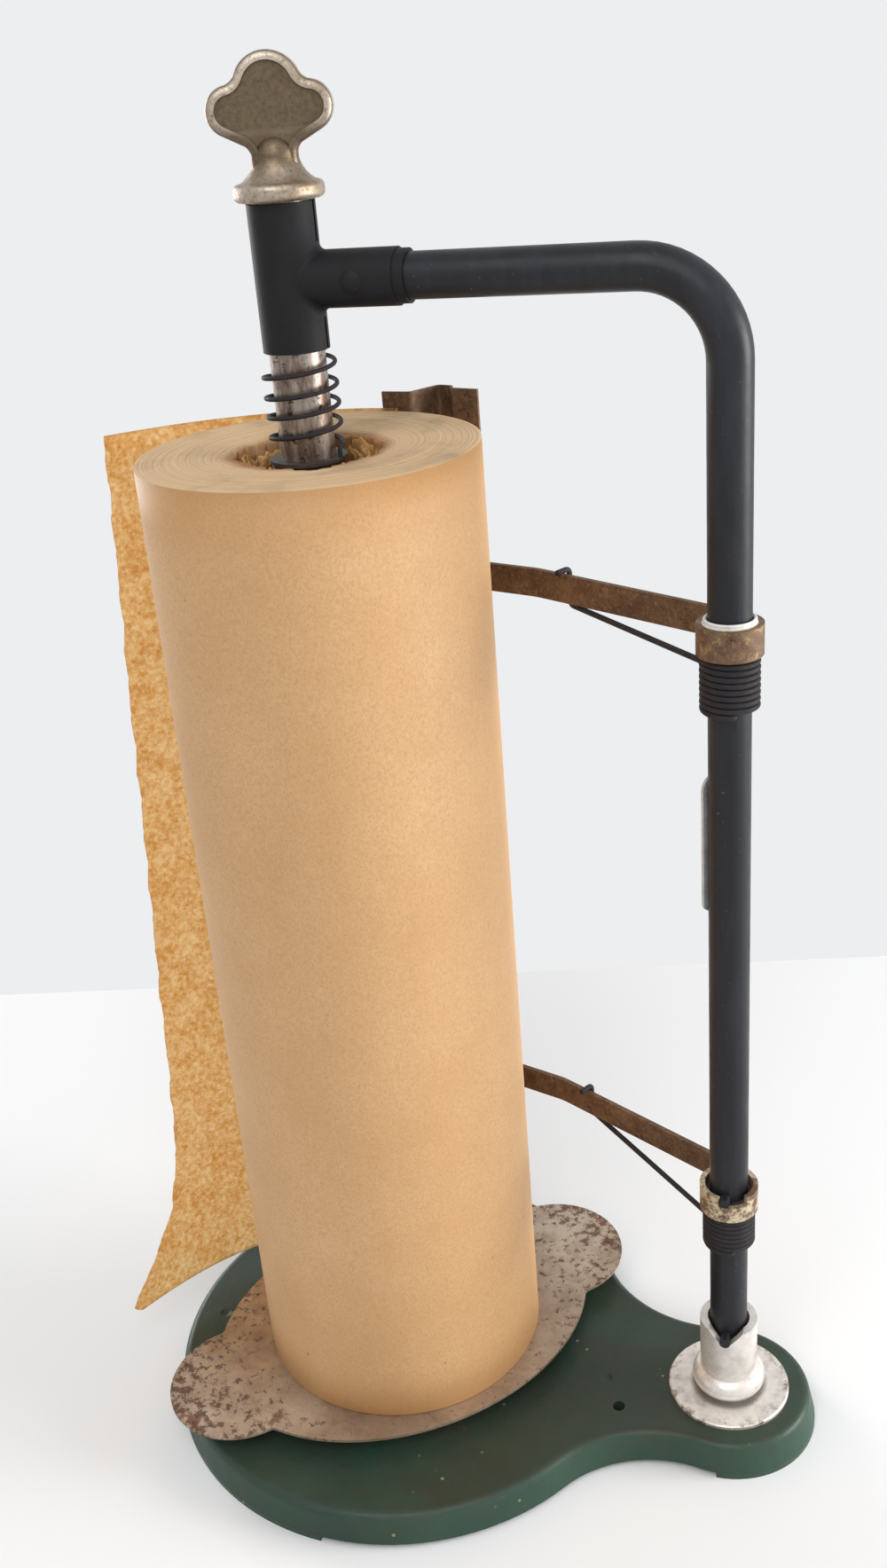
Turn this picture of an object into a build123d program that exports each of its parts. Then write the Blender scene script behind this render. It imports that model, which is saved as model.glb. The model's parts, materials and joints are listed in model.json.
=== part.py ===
from build123d import *
import math
import os

os.makedirs("parts", exist_ok=True)

# Clearances and cutting allowance
overrun = 2.0
running_clear = 0.08
seat_clear = 0.02
paper_clear = 0.35
wire_clear = 0.2
hook_clear = 0.65

# Paper roll, its loose end and the crumpled paper in its core
roll_d = 140.0
roll_length = 457.0
roll_hole_d = 60.0
roll_edge_r = 0.8
sheet_t = 0.3
tail_lift = 1.0
tail_reach = 141.0
tail_start_angle = 78.0
tail_leave_angle = 93.0
tail_bow_shares = (0.567, 0.643)
tail_tip_share = -0.386
tail_edge_shares = ((0.741, 1.0), (0.855, 0.19), (0.885, 0.115), (0.938, 0.058), (1.0, 0.0))
stuffing_depth = 22.0
stuffing_drop = 3.0
stuffing_wall = 9.0
stuffing_folds = 9
stuffing_ripple = 1.8

# Layout of the stand
reach = 168.6
arm_rise = 63.8

# Base casting
base_lobe_r = 120.5
column_lobe_r = 42.0
waist_r = 60.0
base_top = 18.0
base_deck = 6.0
base_wall = 6.0
skirt_lift = 3.0
base_draft = 12.0
base_edge_r = 4.0
foot_from_angle = 92.0
foot_to_angle = 165.0
pivot_boss_r = 20.0
pivot_boss_drop = 3.0
screw_hole_d = 6.0
screw_hole_x = 118.7
screw_hole_y = -26.4
screw_boss_r = 8.0
dimple_d = 6.4
dimple_depth = 0.9
dimple_places = ((108.9, -9.5), (-100.0, -11.6))

# Turntable bearing
ball_d = 6.0
ball_count = 10
ball_circle_r = 40.0
ball_clear = 0.05
race_inner_r = 33.0
race_outer_r = 48.0
race_h = 3.5
race_groove = 1.2
race_recess = 1.0
cage_t = 1.2
cage_half_width = 4.6
cage_pocket_clear = 0.3

# Turntable plate, hub and axle
plate_t = 1.5
plate_half_width = 77.8
plate_half_length = 100.0
ear_r = 36.0
ear_distance = 91.5
ear_angle = 44.0
ear_notch_r = 3.0
hub_flange_r = 28.0
hub_flange_t = 2.0
hub_foot_r = 20.0
hub_top_r = 14.0
hub_h = 42.0
hub_rivet_circle_r = 24.0
hub_rivet_d = 3.0
race_rivet_circle_r = 45.2
race_rivet_d = 3.0
rivet_count = 4
rivet_head_h = 1.0
stud_d = 12.0
pivot_washer_r = 11.0
pivot_washer_t = 1.5
pivot_nut_flats = 18.0
pivot_nut_h = 5.0
stud_nut_h = 4.5
stud_tail = 1.0

# Column and arm tube
tube_d = 17.5
tube_wall = 1.8
bend_r = 34.0
column_foot = 9.0

# Column flange and its sleeve
flange_r = 29.2
flange_t = 2.0
flange_edge = 0.6
bead_r = 17.5
bead_h = 13.0
sleeve_r = 13.65
sleeve_top = 62.0
sleeve_mouth_r = 10.0
sleeve_mouth_depth = 24.0
shank_r = 12.0
shank_drop = 12.0
notch_depth = 8.0
notch_width = 16.0
flange_nut_flats = 34.0
flange_nut_h = 5.0
cross_pin_d = 5.0
cross_pin_out = 5.5

# Tee on the arm's end
head_wall = 2.0
head_below = 26.0
head_above = 28.6
branch_length = 45.0
branch_lip = 4.3
lip_step = 0.7
head_slit = 1.6
head_blend_r = 3.0
head_rivet_d = 5.0
head_rivet_head_r = 4.2
head_rivet_head_h = 1.4
head_rivet_x = 29.0

# Spindle and knob
spindle_d = 22.2
tenon_d = 12.0
tenon_h = 15.0
journal_d = 12.0
knob_gap = 0.6
knob_turn = 19.3
knob_foot_r = 17.35
knob_foot_h = 6.5
knob_foot_edge = 2.4
knob_neck_r = 8.7
knob_neck_h = 15.0
knob_neck_foot_r = 14.7
knob_neck_mid_share = 0.27
knob_lobe_r = 9.1
knob_lobe_out = 14.5
knob_lobe_h = 31.7
knob_crown_r = 13.0
knob_crown_h = 38.5
knob_shoulder_r = 5.5
knob_flank_h = 18.5
knob_flank_r = 4.5
knob_leg_h = 12.0
knob_t = 12.0
knob_edge_r = 2.6
knob_rim = 3.4
knob_panel_depth = 1.1
knob_pin_d = 3.2
knob_pin_h = 10.5

# Spring on the spindle, its seat and the core plug
lift_spring_wire = 1.8
lift_spring_d = 30.5
lift_spring_turns = 4.25
seat_r = 15.6
seat_t = 1.5
seat_below_roll_top = 4.0
cone_gap = 0.4
cone_top_r = 14.4
cone_band = 3.0
cone_tip_r = 9.0
cone_h = 22.0
cone_washer_r = 8.0
cone_washer_t = 1.2
cone_screw_d = 6.0
cone_screw_depth = 12.0
cone_screw_head_r = 5.5
cone_screw_head_h = 3.0

# Cutter arms
strip_h = 12.7
strip_t = 2.4
eye_r = 13.35
eye_gap_angle = 40.0
upper_strip_z = 403.6
lower_strip_z = 130.5
strip_corner_x = 75.4
strip_corner_y = 63.3
strip_end_turn = 11.0
strip_bend_r = 30.0
strip_tail = 41.5
bush_bead = 1.4
stop_pin_d = 4.5
stop_pin_out = 4.6
stop_notch = 4.5
stop_pin_angle = -91.0
cutter_swing = 35.0

# Tear bar
bar_t = 1.2
bar_above_roll = 7.0
bar_above_plate = 3.0
bar_grip = 15.0
bar_flat = 13.5
bar_hump_w = 7.0
bar_hump_h = 4.6
bar_ramp = 3.2
bar_step_run = 7.0
blade_w = 13.5
bar_corner_r = 1.6
blade_angle = 84.0
bar_rivet_d = 4.0
bar_rivet_spacing = 5.4
bar_rivet_head_r = 2.7
bar_rivet_head_h = 1.3

# Cutter springs
torsion_wire = 2.5
torsion_d = 24.3
torsion_pitch = 3.02
upper_turns = 7.135
lower_turns = 6.135
leg_lag = 15.5
wire_bend_share = 1.06
hook_over = 8.0

# Leaf on the back of the column
leaf_w = 12.0
leaf_t = 1.2
leaf_h = 63.0
leaf_corner_r = 5.4
leaf_z = 285.0
leaf_angle = 150.0
leaf_rivet_d = 3.0
leaf_rivet_head_r = 2.8
leaf_rivet_head_h = 1.0

# Heights that follow from the stack on the counter
roll_r = roll_d / 2
tube_r = tube_d / 2
spindle_r = spindle_d / 2
ball_r = ball_d / 2
stud_r = stud_d / 2
deck_under = base_top - base_deck
boss_under = deck_under - pivot_boss_drop
lower_race_top = base_top - race_recess + race_h
ball_z = lower_race_top - race_groove + ball_r + ball_clear
upper_race_z = 2 * ball_z - lower_race_top
plate_z = upper_race_z + race_h
plate_top = plate_z + plate_t
roll_top = plate_top + roll_length
arm_height = roll_top + arm_rise
head_r = spindle_r + running_clear + head_wall
head_z = arm_height - head_below
head_top = arm_height + head_above
seat_z = roll_top - seat_below_roll_top
notch_half_angle = math.atan2(notch_width / 2, notch_depth)
cross_pin_z = sleeve_top - notch_depth + (cross_pin_d / 2 + seat_clear) / math.sin(notch_half_angle)
knob_z = head_top + knob_gap
hub_top = plate_top + hub_h
strip_line_r = eye_r - strip_t / 2
strip_span = math.hypot(reach - strip_corner_x, strip_corner_y)
strip_run = math.sqrt(strip_span**2 - strip_line_r**2)
strip_bearing = math.atan2(strip_corner_y, strip_corner_x - reach) + math.asin(strip_line_r / strip_span)
strip_angle = math.degrees(strip_bearing)
leg_angle = strip_angle - leg_lag
stop_pin_z = lower_strip_z + strip_h - stop_notch + stop_pin_d / 2 + running_clear
mid_x = (reach + column_lobe_r - tail_reach) / 2

FOOT = (Align.CENTER, Align.CENTER, Align.MIN)


def polar(radius, degrees):
    """Point of the plan at a distance and a bearing from the roll's axis."""
    turn = math.radians(degrees)
    return Vector(radius * math.cos(turn), radius * math.sin(turn), 0)


def rod(radius, low, high, x=0, y=0):
    """Upright round bar between two heights."""
    return Pos(x, y, low) * Cylinder(radius, high - low, align=FOOT)


def ring(outer, inner, low, high, x=0, y=0):
    """Upright tube between two heights."""
    bore = rod(inner, low - overrun, high + overrun, x, y)
    return rod(outer, low, high, x, y) - bore


def hexagon(flats, low, high, x=0, y=0):
    """Upright hexagon bar between two heights."""
    outline = Pos(x, y, low) * RegularPolygon(flats / 2, 6, major_radius=False)
    return extrude(outline, high - low)


def around(radius, count, shape):
    """Copies of a shape set evenly round the roll's axis."""
    return [Rot(0, 0, 360 * step / count) * Pos(radius, 0, 0) * shape for step in range(count)]


def turned(points):
    """Solid of revolution about Z from radius and height pairs."""
    outline = Polyline([(radius, 0, height) for radius, height in points], close=True)
    return revolve(make_face(outline), Axis.Z)


def pear(inset=0):
    """Plan of the base: two lobes joined by hollow waists, drawn in by an inset."""
    big = base_lobe_r - inset
    small = column_lobe_r - inset
    waist = waist_r + inset
    to_big = big + waist
    to_small = small + waist
    waist_x = (to_big**2 - to_small**2 + reach**2) / (2 * reach)
    waist_y = math.sqrt(to_big**2 - waist_x**2)
    near = (waist_x * big / to_big, waist_y * big / to_big)
    far = (reach + (waist_x - reach) * small / to_small, waist_y * small / to_small)
    bridge = Polygon(near, (near[0], -near[1]), (far[0], -far[1]), far, align=None)
    plan = Circle(big) + Pos(reach, 0) * Circle(small) + bridge
    return plan - Pos(waist_x, waist_y) * Circle(waist) - Pos(waist_x, -waist_y) * Circle(waist)


def base_casting():
    shell = Pos(0, 0, skirt_lift) * extrude(pear(), base_top - skirt_lift, taper=base_draft)
    shell = fillet(shell.faces().sort_by(Axis.Z)[-1].outer_wire().edges(), base_edge_r)
    hollow = Pos(0, 0, -overrun) * extrude(pear(base_wall + base_edge_r), deck_under + overrun)
    rim = extrude(pear() - pear(base_wall + base_edge_r), skirt_lift)
    wide = 2 * base_lobe_r
    wedge = Polygon((0, 0), polar(wide, foot_from_angle), polar(wide, foot_to_angle), align=None)
    back_foot = rim & extrude(wedge, skirt_lift)
    side = Pos(reach, 0) * Rectangle(wide, wide, align=(Align.MIN, Align.CENTER))
    right_foot = rim & extrude(side, skirt_lift)
    feet = back_foot + mirror(back_foot, Plane.XZ) + right_foot
    pivot_boss = rod(pivot_boss_r, boss_under, base_top)
    screw_boss = rod(screw_boss_r, 0, deck_under, screw_hole_x, screw_hole_y)
    body = shell - hollow + feet + pivot_boss + screw_boss
    body = body - rod(stud_r + seat_clear, -overrun, base_top + overrun)
    body = body - rod(shank_r + seat_clear, -overrun, base_top + overrun, reach)
    body = body - rod(screw_hole_d / 2, -overrun, base_top + overrun, screw_hole_x, screw_hole_y)
    body = body - ring(race_outer_r + seat_clear, race_inner_r - seat_clear,
                       base_top - race_recess, base_top + overrun)
    ball = (dimple_d**2 / 4 + dimple_depth**2) / (2 * dimple_depth)
    for x, y in dimple_places:
        body = body - Pos(x, y, base_top + ball - dimple_depth) * Sphere(ball)
    return body


def column_flange():
    bead_minor = bead_h / 2
    plate = rod(flange_r, base_top, base_top + flange_t)
    plate = chamfer(plate.edges().sort_by(Axis.Z)[-1], flange_edge)
    bead = Pos(0, 0, base_top + flange_t + bead_minor) * Torus(bead_r - bead_minor, bead_minor)
    step = rod(bead_r - bead_minor / 2, base_top, base_top + flange_t + bead_minor)
    sleeve = rod(sleeve_r, base_top, sleeve_top)
    shank = rod(shank_r, base_top - shank_drop, base_top)
    body = plate + bead + step + sleeve + shank
    body = body - rod(tube_r + running_clear, -overrun, sleeve_top + overrun)
    body = body - rod(sleeve_mouth_r, sleeve_top - sleeve_mouth_depth, sleeve_top + overrun)
    spread = notch_width / 2 * (notch_depth + overrun) / notch_depth
    vee = Polyline((-spread, 0, sleeve_top + overrun), (spread, 0, sleeve_top + overrun),
                   (0, 0, sleeve_top - notch_depth), close=True)
    body = body - extrude(make_face(vee), flange_r, both=True)
    return Pos(reach, 0, 0) * body


def flange_nut():
    low = deck_under - flange_nut_h
    nut = hexagon(flange_nut_flats, low, deck_under, reach)
    return nut - rod(shank_r + seat_clear, low - overrun, base_top, reach)


def tube_path():
    start = Vector(head_r, 0, arm_height)
    bend = Vector(reach - bend_r, 0, arm_height)
    turn = Vector(reach, 0, arm_height - bend_r)
    foot = Vector(reach, 0, column_foot)
    return Line(start, bend) + TangentArc(bend, turn, tangent=(1, 0, 0)) + Line(turn, foot)


def arm_tube():
    path = tube_path()
    section = Plane((head_r, 0, arm_height), z_dir=(1, 0, 0))
    body = sweep(section * Circle(tube_r), path=path)
    body = body - sweep(section * Circle(tube_r - tube_wall), path=path)
    body = body - cross_rod(cross_pin_d / 2 + seat_clear, cross_pin_z, tube_d)
    body = body - radial_rod(stop_pin_d / 2 + seat_clear, stop_pin_z, stop_pin_angle, 0, tube_d)
    body = body - radial_rod(leaf_rivet_d / 2 + seat_clear, leaf_z + leaf_w / 2, leaf_angle, 0, tube_d)
    body = body - head_rivet_rod(head_rivet_d / 2 + seat_clear, tube_d)
    for spring in (upper_route(), lower_route()):
        tang = spring["tang"]
        hole = Plane(tang[0], z_dir=tang[1] - tang[0]) * Cylinder(torsion_wire / 2 + wire_clear, tube_d)
        body = body - hole
    return body


def cross_rod(radius, height, half):
    """Bar along Y through the column's axis."""
    return Pos(reach, 0, height) * Rot(90, 0, 0) * Cylinder(radius, 2 * half)


def radial_rod(radius, height, degrees, start, end):
    """Bar that runs outwards from the column's axis on a bearing."""
    body = Rot(0, 90, 0) * Cylinder(radius, end - start, align=FOOT)
    return Pos(reach, 0, height) * Rot(0, 0, degrees) * Pos(start, 0, 0) * body


def head_rivet_rod(radius, half):
    """Bar along Y through the arm at the tee's rivet."""
    return Pos(head_rivet_x, 0, arm_height) * Rot(90, 0, 0) * Cylinder(radius, 2 * half)


def column_cross_pin():
    return cross_rod(cross_pin_d / 2, cross_pin_z, tube_r + cross_pin_out)


def collar_stop_pin():
    grip = tube_r - tube_wall
    return radial_rod(stop_pin_d / 2, stop_pin_z, stop_pin_angle, grip, tube_r + stop_pin_out)


def arm_head():
    branch_r = tube_r + seat_clear + head_wall
    barrel = Rot(0, 0, 180) * rod(head_r, head_z, head_top)
    along = Pos(0, 0, arm_height) * Rot(0, 90, 0)
    body = barrel + along * Cylinder(branch_r, branch_length, align=FOOT)
    seam = [edge for edge in body.edges() if edge.geom_type not in (GeomType.LINE, GeomType.CIRCLE)]
    body = fillet(seam, head_blend_r)
    body = body + along * Cylinder(branch_r - lip_step, branch_length + branch_lip, align=FOOT)
    body = body - along * Cylinder(tube_r + seat_clear, branch_length + branch_lip + overrun, align=FOOT)
    body = body - Rot(0, 0, 180) * rod(spindle_r + running_clear, head_z - overrun, head_top + overrun)
    upper = head_top - arm_height - branch_r - head_blend_r
    lower = arm_height - head_z - branch_r - head_blend_r
    for low, high in ((head_top - upper, head_top + overrun), (head_z - overrun, head_z + lower)):
        slit = Pos(head_r, 0, low) * Box(head_r, head_slit, high - low, align=FOOT)
        body = body - slit
    return body - head_rivet_rod(head_rivet_d / 2 + seat_clear, branch_length)


def arm_head_rivet():
    half = tube_r + seat_clear + head_wall
    dome = (head_rivet_head_r**2 + head_rivet_head_h**2) / (2 * head_rivet_head_h)
    cap = Pos(0, 0, half + head_rivet_head_h - dome) * Sphere(dome)
    cap = cap & rod(head_rivet_head_r, half - head_rivet_head_h / 2, half + 2 * head_rivet_head_h)
    flat = tube_r + seat_clear
    sink = rod(head_rivet_d / 2, -half, half)
    keep = rod(head_rivet_head_r, half - head_rivet_head_h / 2, half) - rod(head_rivet_d / 2, flat, half)
    body = sink + (cap - keep)
    return Pos(head_rivet_x, 0, arm_height) * Rot(90, 0, 0) * body


def spindle():
    body = rod(spindle_r, seat_z, knob_z) + rod(tenon_d / 2, knob_z, knob_z + tenon_h)
    tip = seat_z - seat_t - cone_gap - cone_h - cone_gap
    body = body + rod(journal_d / 2, tip, seat_z)
    body = body - rod(cone_screw_d / 2 + seat_clear, tip - overrun, tip + cone_screw_depth + seat_clear)
    return body - on_spindle(knob_pin_rod(knob_pin_d / 2 + seat_clear))


def on_spindle(shape):
    """Sets a shape on the spindle's top, turned as the knob is."""
    return Pos(0, 0, knob_z) * Rot(0, 0, knob_turn) * shape


def knob_pin_rod(radius):
    """Bar through knob and tenon, square to the knob's faces."""
    return Pos(0, 0, knob_pin_h) * Rot(90, 0, 0) * Cylinder(radius, 2 * knob_foot_r)


def knob_blank(inset, thick):
    """Flat crest drawn in by an inset: crown and lobes with hollow shoulders, over flanks and neck."""
    crown_r = knob_crown_r - inset
    lobe_r = knob_lobe_r - inset
    hollow_r = knob_shoulder_r + inset
    side = knob_neck_r - inset
    drop = knob_crown_h - knob_lobe_h
    apart = math.hypot(knob_lobe_out, drop)
    to_crown = crown_r + hollow_r
    to_lobe = lobe_r + hollow_r
    turn = math.acos((to_crown**2 + apart**2 - to_lobe**2) / (2 * to_crown * apart))
    turn = turn - math.atan2(drop, knob_lobe_out)
    hollow = (to_crown * math.cos(turn), knob_crown_h + to_crown * math.sin(turn))
    across = knob_lobe_out - knob_neck_r
    up = knob_lobe_h - knob_flank_h
    slope = math.atan2(up, across) - math.asin(knob_lobe_r / math.hypot(across, up))
    touch = (knob_lobe_out + lobe_r * math.sin(slope), knob_lobe_h - lobe_r * math.cos(slope))
    armpit_h = knob_flank_h + inset * (math.cos(slope) - (1 - math.sin(slope)) * math.tan(slope))
    right = [(side, knob_leg_h), (side, armpit_h), touch, (knob_lobe_out, knob_lobe_h), hollow]
    left = [(-x, height) for x, height in reversed(right)]
    plan = Polygon(*right, (0, knob_crown_h), *left, align=None) + Pos(0, knob_crown_h) * Circle(crown_r)
    for x in (knob_lobe_out, -knob_lobe_out):
        plan = plan + Pos(x, knob_lobe_h) * Circle(lobe_r)
    for x in (hollow[0], -hollow[0]):
        plan = plan - Pos(x, hollow[1]) * Circle(hollow_r)
    blank = extrude(Plane.XZ.offset(-knob_t / 2) * plan, thick)
    sides = blank.edges().filter_by(Axis.Y)
    armpits = [edge for edge in sides if abs(edge.center().Z - armpit_h) < seat_clear]
    return fillet(armpits, knob_flank_r + inset)


def knob_crest():
    """Crest with rounded edges and a sunk panel on both faces that runs out into the neck."""
    blank = knob_blank(0, knob_t)
    rims = [edge for edge in blank.edges() if abs(abs(edge.center().Y) - knob_t / 2) < seat_clear]
    panel = knob_blank(knob_rim, knob_panel_depth)
    return fillet(rims, knob_edge_r) - panel - mirror(panel, Plane.XZ)


def knob_stem():
    """Turned foot and waisted neck with a ball end that sinks into the crest."""
    middle_h = (knob_foot_h + knob_neck_h) / 2
    middle_r = knob_neck_r + (knob_neck_foot_r - knob_neck_r) * knob_neck_mid_share
    top = knob_neck_h + knob_neck_r
    step = (knob_neck_foot_r, 0, knob_foot_h)
    foot = Polyline((0, 0, 0), (knob_foot_r, 0, 0), (knob_foot_r, 0, knob_foot_h), step)
    neck = ThreePointArc(step, (middle_r, 0, middle_h), (knob_neck_r, 0, knob_neck_h))
    ball = TangentArc((knob_neck_r, 0, knob_neck_h), (0, 0, top), tangent=(0, 0, 1))
    stem = revolve(make_face(foot + neck + ball + Line((0, 0, top), (0, 0, 0))), Axis.Z)
    circles = stem.edges().filter_by(GeomType.CIRCLE)
    return fillet([edge for edge in circles if abs(edge.radius - knob_foot_r) < seat_clear], knob_foot_edge)


def knob():
    body = knob_crest() + knob_stem()
    body = body - rod(tenon_d / 2 + seat_clear, -overrun, tenon_h + seat_clear)
    return on_spindle(body - knob_pin_rod(knob_pin_d / 2 + seat_clear))


def knob_pin():
    return on_spindle(knob_pin_rod(knob_pin_d / 2) & knob_stem())


def spring_seat():
    return ring(seat_r, journal_d / 2 + seat_clear, seat_z - seat_t, seat_z)


def core_cone():
    top = seat_z - seat_t - cone_gap
    tip = top - cone_h
    bore = journal_d / 2 + running_clear
    flank = [(cone_top_r, top), (cone_top_r, top - cone_band), (cone_tip_r, tip)]
    return turned([(bore, top), *flank, (bore, tip)])


def cone_washer():
    top = seat_z - seat_t - cone_gap - cone_h - cone_gap
    return ring(cone_washer_r, cone_screw_d / 2 + seat_clear, top - cone_washer_t, top)


def cone_screw():
    top = seat_z - seat_t - cone_gap - cone_h - cone_gap
    head = top - cone_washer_t
    shank = rod(cone_screw_d / 2, head, top + cone_screw_depth)
    return shank + rod(cone_screw_head_r, head - cone_screw_head_h, head)


def lower_race():
    low = base_top - race_recess
    groove = Pos(0, 0, ball_z) * Torus(ball_circle_r, ball_r + ball_clear)
    return ring(race_outer_r, race_inner_r, low, lower_race_top) - groove


def upper_race():
    groove = Pos(0, 0, ball_z) * Torus(ball_circle_r, ball_r + ball_clear)
    body = ring(race_outer_r, race_inner_r, upper_race_z, plate_z) - groove
    hole = rod(race_rivet_d / 2 + seat_clear, upper_race_z - overrun, plate_z + overrun)
    return body - around(race_rivet_circle_r, rivet_count, hole)


def race_rivets():
    pin = rod(race_rivet_d / 2, upper_race_z, plate_top)
    return around(race_rivet_circle_r, rivet_count, pin)


def ball_cage():
    body = ring(ball_circle_r + cage_half_width, ball_circle_r - cage_half_width,
                ball_z - cage_t / 2, ball_z + cage_t / 2)
    pocket = rod(ball_r + cage_pocket_clear, ball_z - cage_t, ball_z + cage_t)
    return body - around(ball_circle_r, ball_count, pocket)


def bearing_balls():
    return around(ball_circle_r, ball_count, Pos(0, 0, ball_z) * Sphere(ball_r))


def turntable_plate():
    ear = Pos(ear_distance, 0) * Circle(ear_r)
    plan = Ellipse(plate_half_length, plate_half_width) + ear + mirror(ear, Plane.YZ)
    body = extrude(plan, plate_t)
    notches = [edge for edge in body.edges().filter_by(Axis.Z) if abs(edge.center().Y) > ear_notch_r]
    body = Pos(0, 0, plate_z) * Rot(0, 0, ear_angle) * fillet(notches, ear_notch_r)
    body = body - rod(stud_r + paper_clear, plate_z - overrun, plate_top + overrun)
    for circle, size in ((hub_rivet_circle_r, hub_rivet_d), (race_rivet_circle_r, race_rivet_d)):
        hole = rod(size / 2 + seat_clear, plate_z - overrun, plate_top + overrun)
        body = body - around(circle, rivet_count, hole)
    return body


def turntable_hub():
    bore = stud_r + running_clear
    neck = plate_top + hub_flange_t
    body = turned([(bore, plate_top), (hub_flange_r, plate_top), (hub_flange_r, neck), (hub_foot_r, neck),
                   (hub_top_r, hub_top), (bore, hub_top)])
    hole = rod(hub_rivet_d / 2 + seat_clear, plate_top - overrun, neck + overrun)
    return body - around(hub_rivet_circle_r, rivet_count, hole)


def hub_rivets():
    top = plate_top + hub_flange_t
    pin = rod(hub_rivet_d / 2, plate_z, top) + rod(hub_rivet_d, top, top + rivet_head_h)
    return around(hub_rivet_circle_r, rivet_count, pin)


def pivot_stud():
    top = hub_top + running_clear + pivot_washer_t + pivot_nut_h + stud_tail
    low = boss_under - pivot_washer_t - stud_nut_h - stud_tail
    return rod(stud_r, low, top)


def pivot_washer():
    low = hub_top + running_clear
    return ring(pivot_washer_r, stud_r + seat_clear, low, low + pivot_washer_t)


def pivot_nut():
    low = hub_top + running_clear + pivot_washer_t
    nut = hexagon(pivot_nut_flats, low, low + pivot_nut_h)
    return nut - rod(stud_r + seat_clear, low - overrun, low + pivot_nut_h + overrun)


def stud_washer():
    return ring(pivot_washer_r, stud_r + seat_clear, boss_under - pivot_washer_t, boss_under)


def stud_nut():
    top = boss_under - pivot_washer_t
    nut = hexagon(pivot_nut_flats, top - stud_nut_h, top)
    return nut - rod(stud_r + seat_clear, top - stud_nut_h - overrun, top + overrun)


def paper_roll():
    body = ring(roll_r, roll_hole_d / 2, plate_top, roll_top)
    return fillet(body.edges().filter_by(GeomType.CIRCLE).sort_by(SortBy.RADIUS)[-2:], roll_edge_r)


def core_stuffing():
    top = roll_top - stuffing_drop
    crest = roll_hole_d / 2 - seat_clear
    steps = 2 * stuffing_folds

    def fold(radius, ripple, height):
        points = []
        for step in range(steps):
            depth = ripple if step % 2 else 0
            points.append(polar(radius - depth, 360 * step / steps) + Vector(0, 0, height))
        return make_face(Polyline(points, close=True))

    low = top - stuffing_depth
    outer = extrude(fold(crest, stuffing_ripple, low), stuffing_depth)
    inner = fold(crest - stuffing_wall, -stuffing_ripple, low - overrun)
    return outer - extrude(inner, stuffing_depth + 2 * overrun)


def tail_route():
    radius = roll_r + paper_clear + sheet_t / 2
    start = polar(radius, tail_start_angle)
    leave = polar(radius, tail_leave_angle)
    bow = Vector(-tail_bow_shares[0] * tail_reach, tail_bow_shares[1] * roll_r, 0)
    tip = Vector(-tail_reach, tail_tip_share * roll_r, 0)
    first = TangentArc(start, leave, tangent=(-start.Y, start.X, 0))
    second = TangentArc(leave, bow, tangent=first % 1)
    return [first, second, TangentArc(bow, tip, tangent=second % 1)]


def paper_tail():
    low = plate_top + tail_lift
    arcs = tail_route()
    section = Plane(arcs[0] @ 0, x_dir=(0, 0, 1), z_dir=arcs[0] % 0)
    height = roll_top - low
    sheet = Pos(0, 0, low + height / 2) * sweep(section * Rectangle(height, sheet_t), path=Wire(arcs))
    edge = [(-across * tail_reach, 0, low + up * height) for across, up in tail_edge_shares]
    first = (roll_r, 0, low - overrun)
    top = [(roll_r, 0, roll_top + overrun), (edge[0][0], 0, roll_top + overrun)]
    tip = (edge[-1][0], 0, low - overrun)
    outline = Polyline([first] + top + edge + [tip], close=True)
    return sheet & extrude(make_face(outline), 2 * roll_d, both=True)


def strip_lines():
    """Centre line of a cutter strip: straight off the eye, a gentle bend, then the tail on the bar."""
    ahead = polar(1, strip_angle)
    back = polar(1, strip_angle - 90)
    after = polar(1, strip_angle + strip_end_turn)
    start = Vector(reach, 0, 0) + back * strip_line_r
    corner = start + ahead * strip_run
    cut = strip_bend_r * math.tan(math.radians(strip_end_turn) / 2)
    end = corner + after * strip_tail
    first = Line(start, corner - ahead * cut)
    bend = TangentArc(corner - ahead * cut, corner + after * cut, tangent=ahead)
    last = Line(corner + after * cut, end)
    return {"edges": [first, bend, last], "start": start, "ahead": ahead, "back": back,
            "after": after, "end": end}


def cutter_arm(low):
    """Strip rolled round the column into an open eye, then straight off to the tear bar."""
    route = strip_lines()
    sweep_angle = (360 - eye_gap_angle) / 2
    first_angle = strip_angle - 90 - 2 * sweep_angle
    eye = [CenterArc((reach, 0, 0), strip_line_r, first_angle, sweep_angle),
           CenterArc((reach, 0, 0), strip_line_r, first_angle + sweep_angle, sweep_angle)]
    section = Plane(eye[0] @ 0, x_dir=(0, 0, 1), z_dir=eye[0] % 0)
    body = sweep(section * Rectangle(strip_h, strip_t), path=Wire(eye + route["edges"]))
    body = Pos(0, 0, low + strip_h / 2) * body
    for place in rivet_places():
        body = body - rivet_bar(bar_rivet_d / 2 + seat_clear, place, low, strip_h)
    return body


def upper_cutter_arm():
    return cutter_arm(upper_strip_z)


def lower_cutter_arm():
    body = cutter_arm(lower_strip_z)
    return body - stop_window()


def stop_window():
    """Gap in the lower eye's top edge that the stop pin moves in."""
    low = lower_strip_z + strip_h - stop_notch
    slack = math.degrees(math.asin((stop_pin_d / 2 + running_clear) / (eye_r - strip_t)))
    start = stop_pin_angle - slack
    end = stop_pin_angle + cutter_swing + slack
    wide = 2 * eye_r
    middle = (start + end) / 2
    corners = [(0, 0)] + [polar(wide, bearing) for bearing in (start, middle, end)]
    wedge = Polygon(*corners, align=None)
    return Pos(reach, 0, low) * extrude(wedge, stop_notch + overrun)


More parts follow.
